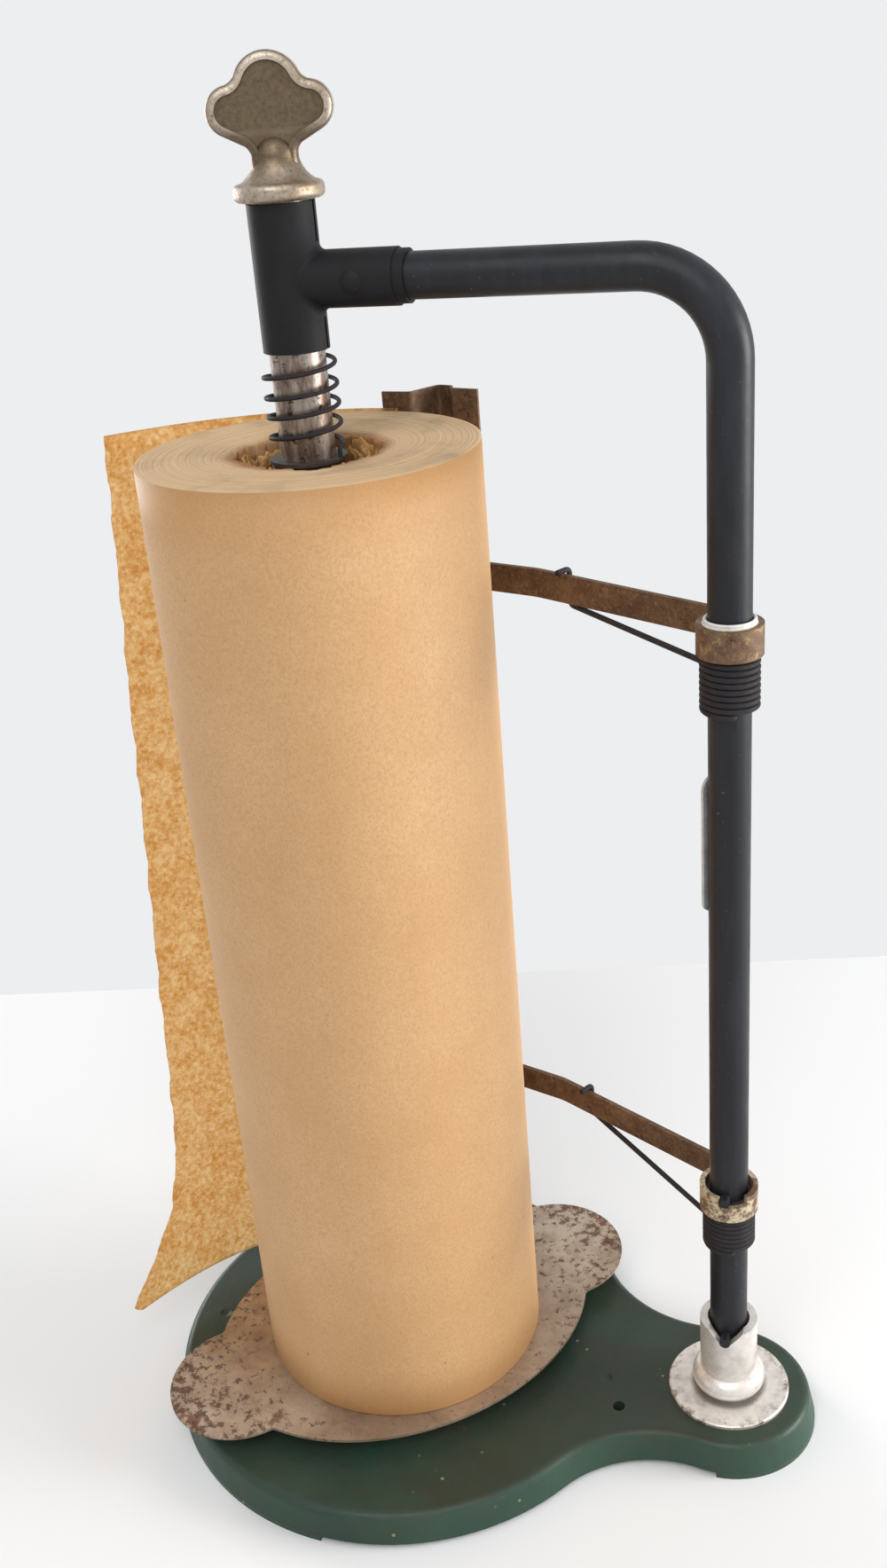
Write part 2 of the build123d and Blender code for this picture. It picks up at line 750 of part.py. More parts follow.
def upper_eye_bush():
    top = upper_strip_z + strip_h
    body = ring(eye_r - strip_t - seat_clear, tube_r + running_clear, upper_strip_z, top, reach)
    minor = bush_bead / 2
    bead = Torus((eye_r - strip_t + tube_r) / 2, minor)
    body = body + Pos(reach, 0, top + minor / 2) * bead
    return body + Pos(reach, 0, top + minor * 2) * bead


def lower_eye_bush():
    top = lower_strip_z + strip_h - stop_notch
    return ring(eye_r - strip_t - seat_clear, tube_r + running_clear, lower_strip_z, top, reach)


def bar_route():
    """Plan of the pressed bar, from the strips' flat over the hump to the blade on the roll."""
    route = strip_lines()
    after = route["after"]
    out = Vector(after.Y, -after.X, 0)
    flat = strip_t / 2 + bar_t / 2
    start = route["end"] - after * bar_grip + out * flat
    first = start + after * bar_flat
    rise = first + after * bar_ramp + out * bar_hump_h
    crest = rise + after * bar_hump_w
    normal = polar(1, blade_angle)
    along = polar(1, blade_angle + 90)
    gap = roll_r + 2 * paper_clear + sheet_t + bar_t / 2
    base = crest + after * bar_step_run
    blade = normal * gap + along * (base.dot(along))
    tip = blade + along * blade_w
    return [start, first, rise, crest, blade, tip]


def rounded(points, radius):
    """Straight runs through the points with each corner rounded."""
    edges = []
    last = points[0]
    for before, corner, after in zip(points, points[1:], points[2:]):
        into = (corner - before).normalized()
        away = (after - corner).normalized()
        turn = math.acos(max(-1, min(1, into.dot(away))))
        cut = radius * math.tan(turn / 2)
        edges.append(Line(last, corner - into * cut))
        last = corner + away * cut
        edges.append(TangentArc(corner - into * cut, last, tangent=into))
    edges.append(Line(last, points[-1]))
    return edges


def tear_bar():
    low = plate_top + bar_above_plate
    high = roll_top + bar_above_roll
    points = bar_route()
    edges = rounded(points, bar_corner_r + bar_t / 2)
    section = Plane(points[0], x_dir=(0, 0, 1), z_dir=points[1] - points[0])
    sheet = sweep(section * Rectangle(high - low, bar_t), path=Wire(edges))
    body = Pos(0, 0, (low + high) / 2) * sheet
    for strip_z in (upper_strip_z, lower_strip_z):
        for place in rivet_places():
            body = body - rivet_bar(bar_rivet_d / 2 + seat_clear, place, strip_z, strip_h)
    return body


def rivet_places():
    route = strip_lines()
    middle = route["end"] - route["after"] * (bar_grip - bar_flat / 2)
    step = route["after"] * (bar_rivet_spacing / 2)
    return [middle - step, middle + step]


def rivet_bar(radius, place, low, high):
    """Bar through strip and tear bar, square to both, at mid height of a strip."""
    after = strip_lines()["after"]
    out = Vector(after.Y, -after.X, 0)
    return Plane(place + Vector(0, 0, low + high / 2), z_dir=out) * Cylinder(radius, 2 * strip_h)


def tear_bar_rivets():
    after = strip_lines()["after"]
    out = Vector(after.Y, -after.X, 0)
    rivets = []
    inner = -strip_t / 2
    outer = strip_t / 2 + bar_t
    for strip_z in (upper_strip_z, lower_strip_z):
        for place in rivet_places():
            middle = Plane(place + Vector(0, 0, strip_z + strip_h / 2), z_dir=out)
            pin = rod(bar_rivet_d / 2, inner, outer)
            head = rod(bar_rivet_head_r, outer, outer + bar_rivet_head_h)
            tail = rod(bar_rivet_head_r, inner - bar_rivet_head_h, inner)
            rivets.append(middle * (pin + head + tail))
    return rivets


def biarc(start, start_way, end, end_way):
    """Two arcs that leave one point and reach another on given headings."""
    span = end - start
    ways = start_way + end_way
    spread = 2 * (1 - start_way.dot(end_way))
    lead = (-span.dot(ways) + math.sqrt(span.dot(ways) ** 2 + spread * span.dot(span))) / spread
    near = start + start_way * lead
    far = end - end_way * lead
    middle = (near + far) * 0.5
    return [TangentArc(start, middle, tangent=start_way),
            TangentArc(middle, end, tangent=(far - near).normalized())]


def coil(radius, low, high, first_angle, turns, centre):
    """Helix of biarcs, level at both ends; turns below zero wind clockwise going up."""
    count = math.ceil(2 * abs(turns))
    way = math.copysign(1, turns)
    slope = (high - low) / (abs(turns) * 2 * math.pi * radius)
    knots = []
    for step in range(count + 1):
        bearing = first_angle + 360 * turns * step / count
        place = centre + polar(radius, bearing) + Vector(0, 0, low + (high - low) * step / count)
        rise = 0 if step in (0, count) else slope
        heading = (polar(1, bearing + 90) * way + Vector(0, 0, rise)).normalized()
        knots.append((place, heading))
    edges = []
    for (start, start_way), (end, end_way) in zip(knots, knots[1:]):
        edges = edges + biarc(start, start_way, end, end_way)
    return edges, knots[0], knots[-1]


def wire_solid(edges, wire_d, name):
    """Round wire along a route; prints its least gap to itself."""
    path = Wire(edges)
    start = path @ 0
    per_wire = 2
    count = int(path.length / wire_d * per_wire)
    points = [path @ (step / count) for step in range(count + 1)]
    apart = int(math.pi * per_wire * 2)
    least = min((points[one] - points[two]).length
                for one in range(len(points)) for two in range(one + apart, len(points)))
    print(name, "least gap of the wire to itself", round(least - wire_d, 2), "mm")
    return sweep(Plane(start, z_dir=path % 0) * Circle(wire_d / 2), path=path)


def spindle_spring():
    radius = (lift_spring_d - lift_spring_wire) / 2
    bend = lift_spring_wire * wire_bend_share
    lead = bend + lift_spring_wire
    low = seat_z + lead
    high = head_z - lead
    edges, first, last = coil(radius, low, high, 0, lift_spring_turns, Vector(0, 0, 0))
    below = first[0] - first[1] * bend
    above = last[0] + last[1] * bend
    down = [below - Vector(0, 0, lead), below, first[0]]
    up = [last[0], above, above + Vector(0, 0, lead)]
    route = rounded(down, bend * (1 - seat_clear)) + edges + rounded(up, bend * (1 - seat_clear))
    return wire_solid(route, lift_spring_wire, "spindle_spring")


def torsion_route(strip_z, turns):
    """Route of a cutter spring: tang in the column, coil, leg below the strip, hook over its top."""
    radius = (torsion_d - torsion_wire) / 2
    bend = torsion_wire * wire_bend_share
    centre = Vector(reach, 0, 0)
    high = strip_z - torsion_wire / 2 - hook_clear
    low = high - turns * torsion_pitch
    leave = leg_angle + 90
    edges, first, last = coil(radius, low, high, leave + 360 * turns, -turns, centre)
    corner = first[0] - first[1] * bend
    inward = (Vector(reach, 0, corner.Z) - corner).normalized()
    tang = [corner + inward * (bend + torsion_wire), corner]
    lines = strip_lines()
    leg = polar(1, leg_angle)
    clear = strip_t / 2 + torsion_wire / 2 + hook_clear
    wanted = lines["start"] + lines["back"] * clear
    run = (wanted - last[0]).dot(lines["back"]) / leg.dot(lines["back"])
    behind = last[0] + leg * run
    over = behind + Vector(0, 0, strip_h + torsion_wire + 2 * hook_clear)
    end = over - lines["back"] * hook_over
    hook = [last[0], behind, over, end]
    route = rounded(tang + [first[0]], bend * (1 - seat_clear)) + edges + rounded(hook, bend)
    return {"edges": route, "tang": tang}


def upper_route():
    return torsion_route(upper_strip_z, upper_turns)


def lower_route():
    return torsion_route(lower_strip_z, lower_turns)


def upper_torsion_spring():
    return wire_solid(upper_route()["edges"], torsion_wire, "upper_torsion_spring")


def lower_torsion_spring():
    return wire_solid(lower_route()["edges"], torsion_wire, "lower_torsion_spring")


def column_leaf():
    blank = Pos(tube_r + leaf_t / 2, 0, leaf_z) * Box(leaf_t, leaf_w, leaf_h, align=FOOT)
    blank = fillet(blank.edges().filter_by(Axis.X), leaf_corner_r)
    hole = radial_rod(leaf_rivet_d / 2 + seat_clear, leaf_z + leaf_w / 2, leaf_angle, 0, tube_d)
    return Pos(reach, 0, 0) * Rot(0, 0, leaf_angle) * blank - hole


def leaf_rivet():
    start = tube_r - tube_wall
    face = tube_r + leaf_t
    height = leaf_z + leaf_w / 2
    pin = radial_rod(leaf_rivet_d / 2, height, leaf_angle, start, face)
    return pin + radial_rod(leaf_rivet_head_r, height, leaf_angle, face, face + leaf_rivet_head_h)


PIECES = [
    base_casting, column_flange, flange_nut, arm_tube, column_cross_pin, collar_stop_pin, arm_head,
    arm_head_rivet, spindle, knob, knob_pin, spindle_spring, spring_seat, core_cone, cone_washer,
    cone_screw, lower_race, upper_race, race_rivets, ball_cage, bearing_balls, turntable_plate,
    turntable_hub, hub_rivets, pivot_stud, pivot_washer, pivot_nut, stud_washer, stud_nut, paper_roll,
    core_stuffing, paper_tail, upper_cutter_arm, lower_cutter_arm, upper_eye_bush, lower_eye_bush,
    tear_bar, tear_bar_rivets, upper_torsion_spring, lower_torsion_spring, column_leaf, leaf_rivet,
]

for piece in PIECES:
    made = piece()
    solids = made if isinstance(made, list) else [made]
    placed = [Pos(-mid_x, 0, 0) * solid for solid in solids]
    export_step(placed[0] if len(placed) == 1 else Compound(children=placed),
                "parts/" + piece.__name__ + ".step")
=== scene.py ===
import json
import math

import bpy
import numpy as np
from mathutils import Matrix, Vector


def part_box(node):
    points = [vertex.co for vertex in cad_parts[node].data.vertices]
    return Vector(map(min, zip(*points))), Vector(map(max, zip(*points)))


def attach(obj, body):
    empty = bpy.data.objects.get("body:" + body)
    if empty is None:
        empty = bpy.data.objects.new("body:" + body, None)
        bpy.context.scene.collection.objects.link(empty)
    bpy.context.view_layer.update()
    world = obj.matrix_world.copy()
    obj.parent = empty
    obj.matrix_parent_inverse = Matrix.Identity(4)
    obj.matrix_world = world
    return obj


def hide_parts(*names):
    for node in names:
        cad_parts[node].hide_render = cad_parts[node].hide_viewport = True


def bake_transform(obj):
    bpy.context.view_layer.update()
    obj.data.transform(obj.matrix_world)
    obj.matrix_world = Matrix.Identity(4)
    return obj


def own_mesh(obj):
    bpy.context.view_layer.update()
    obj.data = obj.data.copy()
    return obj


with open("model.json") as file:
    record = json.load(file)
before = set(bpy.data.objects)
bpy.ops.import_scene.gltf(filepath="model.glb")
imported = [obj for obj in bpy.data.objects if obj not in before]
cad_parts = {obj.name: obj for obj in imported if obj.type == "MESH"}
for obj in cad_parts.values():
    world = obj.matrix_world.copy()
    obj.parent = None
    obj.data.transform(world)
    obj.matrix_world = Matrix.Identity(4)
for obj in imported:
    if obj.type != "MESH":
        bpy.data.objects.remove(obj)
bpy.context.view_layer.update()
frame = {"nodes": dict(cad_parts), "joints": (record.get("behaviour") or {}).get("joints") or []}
nodes = frame["nodes"]
joints = {joint["name"]: joint for joint in frame["joints"]}


# Base casting
# Pear-shaped iron foot, hollow below, stood on lowered stretches of its skirt. Sprayed in a dark green
# enamel that has gone dull and darker in patches on the deck, with brown grime, pale flecks and rust where
# it is chipped.
def tint(code):
    """Linear colour of a hex code, by the usual display curve."""
    parts = np.array([int(code[at:at + 2], 16) for at in (0, 2, 4)]) / 255
    linear = np.where(parts <= 0.04045, parts / 12.92, ((parts + 0.055) / 1.055) ** 2.4)
    return (*linear.tolist(), 1.0)


def finish(name, colour, roughness, metallic=0.0, specular=0.5):
    """Material whose constant values sit on its shader's own sockets."""
    material = bpy.data.materials.new(name)
    material.use_nodes = True
    shader = material.node_tree.nodes["Principled BSDF"]
    shader.inputs["Base Color"].default_value = tint(colour)
    shader.inputs["Roughness"].default_value = roughness
    shader.inputs["Metallic"].default_value = metallic
    shader.inputs["Specular IOR Level"].default_value = specular
    return material


def spot_vector(material, stretch=(1, 1, 1)):
    """Coordinates on the piece, each axis times its stretch."""
    tree = material.node_tree
    place = tree.nodes.new("ShaderNodeTexCoord")
    mapping = tree.nodes.new("ShaderNodeMapping")
    mapping.inputs["Scale"].default_value = stretch
    tree.links.new(place.outputs["Object"], mapping.inputs["Vector"])
    return mapping.outputs["Vector"]


def cloud(material, scale, detail=6.0, rough=0.6, stretch=(1, 1, 1)):
    """Soft noise of the given count per metre, from 0 to 1."""
    noise = material.node_tree.nodes.new("ShaderNodeTexNoise")
    noise.inputs["Scale"].default_value = scale
    noise.inputs["Detail"].default_value = detail
    noise.inputs["Roughness"].default_value = rough
    material.node_tree.links.new(spot_vector(material, stretch), noise.inputs["Vector"])
    return noise.outputs["Fac"]


def flecks(material, scale):
    """Distance to the nearest of scattered points, small at each point."""
    cells = material.node_tree.nodes.new("ShaderNodeTexVoronoi")
    cells.inputs["Scale"].default_value = scale
    material.node_tree.links.new(spot_vector(material), cells.inputs["Vector"])
    return cells.outputs["Distance"]


def window(material, value, low, high):
    """Value stretched so that low gives 0 and high gives 1; low above high turns it round."""
    span = material.node_tree.nodes.new("ShaderNodeMapRange")
    span.inputs["From Min"].default_value = low
    span.inputs["From Max"].default_value = high
    material.node_tree.links.new(value, span.inputs["Value"])
    return span.outputs["Result"]


def patches(material, low, high, *noise):
    """Soft noise, given as for a cloud, stretched so that low gives 0 and high gives 1."""
    return window(material, cloud(material, *noise), low, high)


def reckon(material, kind, first, second=0.0):
    """One sum on two values or sockets."""
    node = material.node_tree.nodes.new("ShaderNodeMath")
    node.operation = kind
    for socket, value in zip(node.inputs, (first, second)):
        if isinstance(value, (int, float)):
            socket.default_value = value
        else:
            material.node_tree.links.new(value, socket)
    return node.outputs[0]


def layered(material, factor, under, over, share=1):
    """Colour that goes from under to over with factor times share; each is a hex code or a socket."""
    if share < 1:
        factor = reckon(material, "MULTIPLY", factor, share)
    mix = material.node_tree.nodes.new("ShaderNodeMix")
    mix.data_type = "RGBA"
    material.node_tree.links.new(factor, mix.inputs["Factor"])
    for socket, value in ((mix.inputs[6], under), (mix.inputs[7], over)):
        if isinstance(value, str):
            socket.default_value = tint(value)
        else:
            material.node_tree.links.new(value, socket)
    return mix.outputs[2]


def feed(material, socket, value):
    """Joins a value to a socket of the shader."""
    shader = material.node_tree.nodes["Principled BSDF"]
    material.node_tree.links.new(value, shader.inputs[socket])


def coats(material, tone, *layers):
    """Base colour: a tone under coats, each given as where it lies, its colour and its share there."""
    for factor, colour, share in layers:
        tone = layered(material, factor, tone, colour, share)
    feed(material, "Base Color", tone)


def relief(material, height, strength, depth):
    """Bumps of the given depth in metres from a height of 0 to 1."""
    bump = material.node_tree.nodes.new("ShaderNodeBump")
    bump.inputs["Strength"].default_value = strength
    bump.inputs["Distance"].default_value = depth
    material.node_tree.links.new(height, bump.inputs["Height"])
    feed(material, "Normal", bump.outputs["Normal"])


def far_from(material, axis):
    """Distance in the plan from an upright axis, in metres."""
    tree = material.node_tree
    place = tree.nodes.new("ShaderNodeTexCoord")
    flat = tree.nodes.new("ShaderNodeVectorMath")
    flat.operation = "MULTIPLY_ADD"
    flat.inputs[1].default_value = (1, 1, 0)
    flat.inputs[2].default_value = (-axis[0], -axis[1], 0)
    size = tree.nodes.new("ShaderNodeVectorMath")
    size.operation = "LENGTH"
    tree.links.new(place.outputs["Object"], flat.inputs[0])
    tree.links.new(flat.outputs["Vector"], size.inputs[0])
    return size.outputs["Value"]


def height_of(material):
    """Height on the piece, in metres."""
    split = material.node_tree.nodes.new("ShaderNodeSeparateXYZ")
    material.node_tree.links.new(spot_vector(material), split.inputs["Vector"])
    return split.outputs["Z"]


def dress(material, *names):
    """Puts a material on CAD nodes."""
    for name in names:
        nodes[name].data.materials.clear()
        nodes[name].data.materials.append(material)


enamel = finish("dull_green_enamel", "27453b", 0.42, 0.0, 0.35)
base_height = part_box("base_casting")[1][2]
deck_dark_from = base_height - 0.0025
deck_dark_full = base_height - 0.0005
green = layered(enamel, patches(enamel, 0.3, 0.7, 9), "213a2f", "314b3c")
deck = window(enamel, height_of(enamel), deck_dark_from, deck_dark_full)
# Darker olive patches on the top of the deck only.
deck_darkening = reckon(enamel, "MULTIPLY", deck, patches(enamel, 0.32, 0.58, 13, 8, 0.65))
grime = patches(enamel, 0.5, 0.8, 60, 9, 0.7)
pale_fleck = window(enamel, flecks(enamel, 95), 0.10, 0.05)
pale = reckon(enamel, "MULTIPLY", pale_fleck, patches(enamel, 0.56, 0.62, 31))
chip = patches(enamel, 0.66, 0.69, 48, 10, 0.72)
coats(enamel, green, (deck_darkening, "313128", 0.65), (grime, "40382a", 0.6), (pale, "8a8f58", 1),
      (chip, "55351f", 1))
feed(enamel, "Roughness", patches(enamel, -0.3, 1.5, 45, 8))
relief(enamel, reckon(enamel, "SUBTRACT", cloud(enamel, 210, 4), chip), 0.35, 0.0006)
dress(enamel, "base_casting")


# Column flange
# Turned and nickel-plated socket: a flat flange, a fat bead and a sleeve whose top edge has two notches.
# The plate is still bright, with painted grey shade under the bead and rust creeping in from the rim.
COLUMN = joints["cutter_swing"]["pos_m"]
bead_shade_in = 0.0168
bead_shade_out = 0.0192
bead_shade_low = base_height + 0.0040
bead_shade_high = base_height + 0.0080
rust_from = 0.022
rust_full = 0.030
bright_nickel = finish("bright_nickel", "d8d2cb", 0.3, 0.45)
silver = layered(bright_nickel, cloud(bright_nickel, 24), "d8d1c9", "f2ede6")
stain = patches(bright_nickel, 0.46, 0.70, 90, 10, 0.75)
off_axis = far_from(bright_nickel, COLUMN)
# Dark grey ring in the crease under the bead: painted shade.
by_bead = window(bright_nickel, off_axis, bead_shade_out, bead_shade_in)
low_down = window(bright_nickel, height_of(bright_nickel), bead_shade_high, bead_shade_low)
painted_shade_under_bead = reckon(bright_nickel, "MULTIPLY", by_bead, low_down)
rim = window(bright_nickel, off_axis, rust_from, rust_full)
creep = reckon(bright_nickel, "MULTIPLY", rim, patches(bright_nickel, 0.50, 0.64, 190, 6, 0.7))
coats(bright_nickel, silver, (stain, "7d7064", 0.5), (painted_shade_under_bead, "51473c", 0.65), (creep, "6a4426", 1))
feed(bright_nickel, "Roughness", patches(bright_nickel, -0.15, 1.6, 85, 8))
relief(bright_nickel, cloud(bright_nickel, 420, 4), 0.2, 0.0003)
dress(bright_nickel, "column_flange")


# Turntable bearing, axle and hidden fixings
# Turned steel races, balls in a sheet cage, a stud with its nuts and washers, and soft rivets.
# They sit under the plate and inside the roll, oiled and only lightly browned.
oiled_steel = finish("oiled_steel", "8d8a85", 0.34, 0.9)
coats(oiled_steel, "97948f", (patches(oiled_steel, 0.4, 0.75, 130, 8), "5b5046", 1))
feed(oiled_steel, "Roughness", patches(oiled_steel, -0.2, 1.5, 240))
relief(oiled_steel, cloud(oiled_steel, 600, 3), 0.12, 0.0002)
dress(oiled_steel, "lower_race", "upper_race", "ball_cage", "bearing_balls", "pivot_stud", "pivot_washer",
      "pivot_nut", "stud_washer", "stud_nut", "flange_nut", "race_rivets", "turntable_hub", "hub_rivets",
      "cone_washer", "cone_screw")


# Turntable plate
# Thin stamped plate with two round ears, nickel-plated and gone dull and warm. Rust has eaten pits into
# it, thickest out on the ears, with a few broad brown patches.
AXIS = joints["turntable_spin"]["pos_m"]
ear_from = 0.070
ear_full = 0.125
dull_nickel = finish("dull_nickel_plate", "a5968a", 0.4, 0.7)
outer = window(dull_nickel, far_from(dull_nickel, AXIS), ear_from, ear_full)


def more_on_ears(noise, gain):
    """Noise plus the gain times how far out on the ears it is."""
    return reckon(dull_nickel, "ADD", noise, reckon(dull_nickel, "MULTIPLY", outer, gain))


sheen = layered(dull_nickel, patches(dull_nickel, 0.3, 0.7, 22, 8), "9f8b77", "c6b5a1")
film = patches(dull_nickel, 0.45, 0.8, 75, 9, 0.7)
brown_patch = window(dull_nickel, more_on_ears(cloud(dull_nickel, 42, 10, 0.72), 0.06), 0.60, 0.64)
pits = window(dull_nickel, more_on_ears(cloud(dull_nickel, 230, 7, 0.75), 0.10), 0.575, 0.635)
coats(dull_nickel, sheen, (film, "755a43", 0.75), (brown_patch, "6e4630", 0.85), (pits, "50321f", 0.85))
rust = reckon(dull_nickel, "MAXIMUM", brown_patch, pits)
feed(dull_nickel, "Metallic", window(dull_nickel, rust, 1.1, -0.5))
feed(dull_nickel, "Roughness", window(dull_nickel, rust, -0.9, 1.3))
relief(dull_nickel, reckon(dull_nickel, "SUBTRACT", cloud(dull_nickel, 300, 4), pits), 0.3, 0.0005)
dress(dull_nickel, "turntable_plate")


# Paper roll
# Kraft wrapping paper wound tight on itself without a tube. The side is one smooth fibrous sheet, the end
# shows its windings as fine rings, and the middle is a ragged hole where the first turns were pulled out.
def grid_piece(name, points, wrap_rows=False, wrap_columns=False, uv=None):
    """Mesh of quads on a grid of points, given as rows, columns and three coordinates.

    A wrapped direction joins its last line to its first. Where uv is given, on the same grid, it is each
    corner's place on the flat sheet.
    """
    rows, columns = points.shape[:2]
    down = np.arange(rows if wrap_rows else rows - 1)[:, None]
    along = np.arange(columns if wrap_columns else columns - 1)[None, :]
    next_down = (down + 1) % rows
    next_along = (along + 1) % columns
    corners = [down * columns + along, down * columns + next_along,
               next_down * columns + next_along, next_down * columns + along]
    faces = np.stack(np.broadcast_arrays(*corners), axis=-1).reshape(-1, 4)
    mesh = bpy.data.meshes.new(name)
    mesh.from_pydata(points.reshape(-1, 3).tolist(), [], faces.tolist())
    mesh.polygons.foreach_set("use_smooth", np.ones(len(faces), bool))
    if uv is not None:
        layer = mesh.uv_layers.new(name="sheet")
        layer.data.foreach_set("uv", uv.reshape(-1, 2)[faces.ravel()].ravel())
    piece = bpy.data.objects.new(name, mesh)
    bpy.context.scene.collection.objects.link(piece)
    return piece


def ripple(values, waves, seed, shape=np.sin):
    """Sum of waves with fixed random starts, each lower than the one before, about -1 to 1.

    A wave's angle is its count times the value plus its start. The first has weight 1, the next 1/2, and so
    on, and the sum is divided by the sum of the weights.
    """
    starts = np.random.default_rng(seed).uniform(0, 2 * np.pi, len(waves))
    weights = [1 / (1 + rank) for rank in range(len(waves))]
    parts = [weight * shape(count * values + start) for weight, count, start in zip(weights, waves, starts)]
    return sum(parts) / sum(weights)


def around(axis, radius, angle, height):
    """Points round an upright axis: radius times cosine and sine of the angle, at a height."""
    x = axis[0] + radius * np.cos(angle)
    y = axis[1] + radius * np.sin(angle)
    return np.stack(np.broadcast_arrays(x, y, height), axis=-1)


roll_low, roll_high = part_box("paper_roll")
roll_r = (roll_high[0] - roll_low[0]) / 2
hole_r = 0.030
edge_in = 0.0012
edge_drop = 0.001
hole_drop = 0.004
end_drop = 0.0009
ring_step = 0.00022
ridge_r = 0.052
ridge_wide = 0.004
ridge_high = 0.0005
side_rows = 24
ring_rows = 84
wall_rows = 14
under_rows = 8
roll_steps = 288
rag_deep = 0.0035
rag_fine = 0.0014
side_swell = 0.00012
sag_deep = 0.0016
sag_wave = 0.0012
turn = np.linspace(0, 2 * np.pi, roll_steps, endpoint=False)
side_z = np.linspace(roll_low[2] + edge_drop, roll_high[2] - edge_drop, side_rows)
ring_r = np.linspace(roll_r - edge_in, hole_r, ring_rows)
winding = ring_step * ripple(ring_r * 1000, (1.9, 4.3, 7.7), 3)
ridge = ridge_high * np.exp(-((ring_r - ridge_r) / ridge_wide) ** 2)
ring_z = roll_high[2] - end_drop + winding + ridge
wall_z = np.linspace(roll_high[2] - hole_drop, roll_low[2] + hole_drop, wall_rows)
under_r = np.linspace(hole_r, roll_r - edge_in, under_rows)
profile_r = np.concatenate([np.full(side_rows, roll_r), ring_r, np.full(wall_rows, hole_r), under_r])
profile_z = np.concatenate([side_z, ring_z, wall_z, np.full(under_rows, roll_low[2])])
inward = np.clip((roll_r - profile_r) / (roll_r - hole_r), 0, 1)[:, None] ** 5
ragged = rag_deep * ripple(turn, (2, 3, 5, 9, 17), 8) + rag_fine * ripple(turn, (31, 47, 71), 9)
swell = side_swell * ripple(turn, (1, 2, 5), 4)
reach = profile_r[:, None] + inward * ragged - (1 - inward) * np.abs(swell)
row = np.arange(len(profile_r))
on_end = (row >= side_rows) & (row < side_rows + ring_rows)
sag = on_end[:, None] * inward
roll_z = profile_z[:, None] + sag * sag_wave * ripple(turn, (3, 7, 13), 12) - sag * sag_deep
roll_points = around(AXIS, reach, turn, roll_z)
run = np.concatenate([[0], np.cumsum(np.hypot(np.diff(profile_r), np.diff(profile_z)))])
roll_uv = np.stack(np.broadcast_arrays(turn[None, :] * roll_r, run[:, None]), axis=-1)
roll = grid_piece("kraft_roll", roll_points, True, True, roll_uv)

kraft = finish("kraft_paper", "cfa372", 0.55, 0.0, 0.4)
aged_band = 0.030
fibre = cloud(kraft, 1000, 5, 0.7, (1, 1, 0.8))
tan = layered(kraft, patches(kraft, 0.3, 0.7, 14, 5), "c99c6a", "d6ad7f")
tan = layered(kraft, window(kraft, fibre, 0.45, 0.8), tan, "b08554")
felt = patches(kraft, 0.3, 0.75, 420, 4, 0.6)
low_end = window(kraft, height_of(kraft), roll_low[2] + aged_band, roll_low[2])
high_end = window(kraft, height_of(kraft), roll_high[2] - aged_band, roll_high[2])
aged = reckon(kraft, "MAXIMUM", low_end, high_end)
speck = window(kraft, flecks(kraft, 110), 0.10, 0.06)
speck = reckon(kraft, "MULTIPLY", speck, patches(kraft, 0.60, 0.64, 23))
coats(kraft, tan, (felt, "bf9464", 0.45), (aged, "b9854e", 0.55), (speck, "4a3420", 1))
relief(kraft, fibre, 0.1, 0.0002)

windings = finish("kraft_windings", "d0a878", 0.85, 0.0, 0.2)
shade_from = 0.036
shade_full = 0.0305
from_axis = far_from(windings, AXIS)
rings = windings.node_tree.nodes.new("ShaderNodeTexNoise")
rings.noise_dimensions = "1D"
rings.inputs["Scale"].default_value = 1500
rings.inputs["Detail"].default_value = 5
windings.node_tree.links.new(from_axis, rings.inputs["W"])
ring_line = rings.outputs["Fac"]
end_tan = layered(windings, window(windings, ring_line, 0.38, 0.66), "d6b289", "eacba3")
smudge = patches(windings, 0.5, 0.75, 38, 8)
# Orange-brown darkening towards the hole and down its wall: partly the paper's own darker tone and partly
# painted shade.
painted_hole_shade = window(windings, from_axis, shade_from, shade_full)
coats(windings, end_tan, (smudge, "8a7a62", 0.5), (painted_hole_shade, "96602f", 0.8))
relief(windings, ring_line, 0.4, 0.0006)
for material in (kraft, windings):
    roll.data.materials.append(material)
face_row = np.arange(len(roll.data.polygons)) // len(turn)
roll.data.polygons.foreach_set("material_index", (face_row >= side_rows - 1).astype(np.int32))
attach(roll, "turntable")
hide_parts("paper_roll")


# Crumpled paper in the core
# Torn strips of the same kraft paper, crushed into the hole so that the narrow plug holds the roll.
# Each strip is a creased ribbon that stands round the plug with its torn edge up.
def fold(angle):
    """Triangle wave of an angle, from 1 down to -1 and back in a full turn, for folds that stay sharp."""
    return 4 * np.abs(angle / (2 * np.pi) % 1 - 0.5) - 1


stuff_low, stuff_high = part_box("core_stuffing")
stuff_deep = stuff_high[2] - stuff_low[2]
lit_depth = 0.014
crumpled = finish("crumpled_kraft", "b98a54", 0.85, 0.0, 0.2)
# Dark brown deep in the hole and tan near its top: painted shade and light. The pale patches on the folds,
# only near the top, are painted highlights.
lit = window(crumpled, height_of(crumpled), stuff_high[2] - lit_depth, stuff_high[2])
crumple_tone = layered(crumpled, lit, "6d431d", "c89555")
painted_fold_highlight = reckon(crumpled, "MULTIPLY", patches(crumpled, 0.42, 0.7, 140, 7, 0.7), lit)
coats(crumpled, crumple_tone, (painted_fold_highlight, "e0bb84", 1))
relief(crumpled, cloud(crumpled, 420, 5), 0.5, 0.0006)

